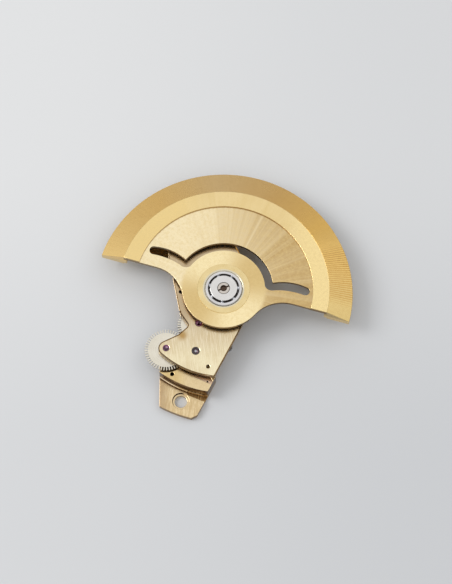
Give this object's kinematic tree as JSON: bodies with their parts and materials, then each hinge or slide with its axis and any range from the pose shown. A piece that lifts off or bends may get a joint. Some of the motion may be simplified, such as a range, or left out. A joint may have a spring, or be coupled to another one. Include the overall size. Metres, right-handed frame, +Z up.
{
  "type": "automatic winding rotor module",
  "caption": "Half-moon winding rotor on a ball bearing above a two-storey gilt bridge with two reversing wheels and a reduction wheel.",
  "frame": {"origin": "on the rotor's axis, in the plane of the lower bridge's seating face", "axes": "+Z up along the rotor's axis, away from the movement; -Y runs roughly along the bridge towards the foot that is in front in the picture"},
  "size_m": [0.025, 0.0253, 0.0036],
  "materials": {
    "bridge_gilt": "straight-grained gilding",
    "rotor_gilt": "brushed gilding",
    "weight_gilt": "radially grained gilding on a heavy rim",
    "bush_gilt": "turned and polished gilding",
    "bright_steel": "polished",
    "steel": "satin",
    "cage_steel": "blank stamped steel",
    "wheel_nickel": "circular-grained, pale",
    "wheel_brass": "satin",
    "ruby": "polished synthetic ruby"
  },
  "bodies": {
    "bridge": {"lower_bridge": "bridge_gilt", "bridge_deck": "bridge_gilt", "upper_bridge": "bridge_gilt", "bridge_pillars": "bridge_gilt", "pillar_screws": "steel", "rotor_post": "steel", "lower_race": "steel", "upper_race": "bright_steel", "rotor_screw": "steel", "upper_jewel_a": "ruby", "lower_jewel_a": "ruby", "upper_jewel_b": "ruby", "lower_jewel_b": "ruby", "upper_jewel_c": "ruby", "lower_jewel_c": "ruby"},
    "rotor": {"rotor_plate": "rotor_gilt", "rotor_weight": "weight_gilt", "hub_bush": "bush_gilt", "outer_ring": "bright_steel", "rotor_gear": "steel"},
    "cage": {"bearing_cage": "cage_steel", "bearing_balls": "bright_steel"},
    "reduction": {"reduction_wheel": "wheel_brass", "reduction_arbor": "steel"},
    "reverser_a": {"reverser_wheel_a": "wheel_nickel", "wheel_bush_a": "wheel_brass", "pawl_studs_a": "steel"},
    "clutch_a": {"clutch_arbor_a": "steel", "clutch_pinion_a": "steel", "ratchet_a": "steel"},
    "pawl_body_a_1": {"pawl_a_1": "steel"},
    "pawl_body_a_2": {"pawl_a_2": "steel"},
    "reverser_b": {"reverser_wheel_b": "wheel_nickel", "wheel_bush_b": "wheel_brass", "pawl_studs_b": "steel"},
    "clutch_b": {"clutch_arbor_b": "steel", "clutch_pinion_b": "steel", "ratchet_b": "steel"},
    "pawl_body_b_1": {"pawl_b_1": "steel"},
    "pawl_body_b_2": {"pawl_b_2": "steel"}
  },
  "joints": [
    {"name": "rotor_spin", "type": "hinge", "parent": "bridge", "child": "rotor", "pos_m": [0, 0, 0.0031], "axis": [0, 0, 1], "continuous": true},
    {"name": "cage_spin", "type": "hinge", "parent": "bridge", "child": "cage", "pos_m": [0, 0, 0.0031], "axis": [0, 0, 1], "continuous": true},
    {"name": "reduction_spin", "type": "hinge", "parent": "bridge", "child": "reduction", "pos_m": [-0.00274, -0.00625, 0.0012], "axis": [0, 0, 1], "continuous": true},
    {"name": "reverser_a_spin", "type": "hinge", "parent": "bridge", "child": "reverser_a", "pos_m": [-0.00244, -0.00334, 0.00201], "axis": [0, 0, 1], "continuous": true},
    {"name": "clutch_a_spin", "type": "hinge", "parent": "bridge", "child": "clutch_a", "pos_m": [-0.00244, -0.00334, 0.0012], "axis": [0, 0, 1], "continuous": true},
    {"name": "pawl_a_1_swing", "type": "hinge", "parent": "reverser_a", "child": "pawl_body_a_1", "pos_m": [-0.00103, -0.00283, 0.00155], "axis": [0, 0, -1], "range_deg": [0, 10]},
    {"name": "pawl_a_2_swing", "type": "hinge", "parent": "reverser_a", "child": "pawl_body_a_2", "pos_m": [-0.00385, -0.00385, 0.00155], "axis": [0, 0, -1], "range_deg": [0, 10]},
    {"name": "reverser_b_spin", "type": "hinge", "parent": "bridge", "child": "reverser_b", "pos_m": [-0.00565, -0.00595, 0.00201], "axis": [0, 0, 1], "continuous": true},
    {"name": "clutch_b_spin", "type": "hinge", "parent": "bridge", "child": "clutch_b", "pos_m": [-0.00565, -0.00595, 0.0012], "axis": [0, 0, 1], "continuous": true},
    {"name": "pawl_b_1_swing", "type": "hinge", "parent": "reverser_b", "child": "pawl_body_b_1", "pos_m": [-0.00424, -0.00544, 0.00155], "axis": [0, 0, -1], "range_deg": [0, 10]},
    {"name": "pawl_b_2_swing", "type": "hinge", "parent": "reverser_b", "child": "pawl_body_b_2", "pos_m": [-0.00706, -0.00647, 0.00155], "axis": [0, 0, -1], "range_deg": [0, 10]}
  ],
  "couplings": [
    {"joint": "cage_spin", "follows": "rotor_spin", "ratio": 0.5866},
    {"joint": "reverser_a_spin", "follows": "rotor_spin", "ratio": -1},
    {"joint": "clutch_a_spin", "follows": "reduction_spin", "ratio": -2.0833},
    {"joint": "reverser_b_spin", "follows": "rotor_spin", "ratio": 1},
    {"joint": "clutch_b_spin", "follows": "reduction_spin", "ratio": -2.0833}
  ]
}
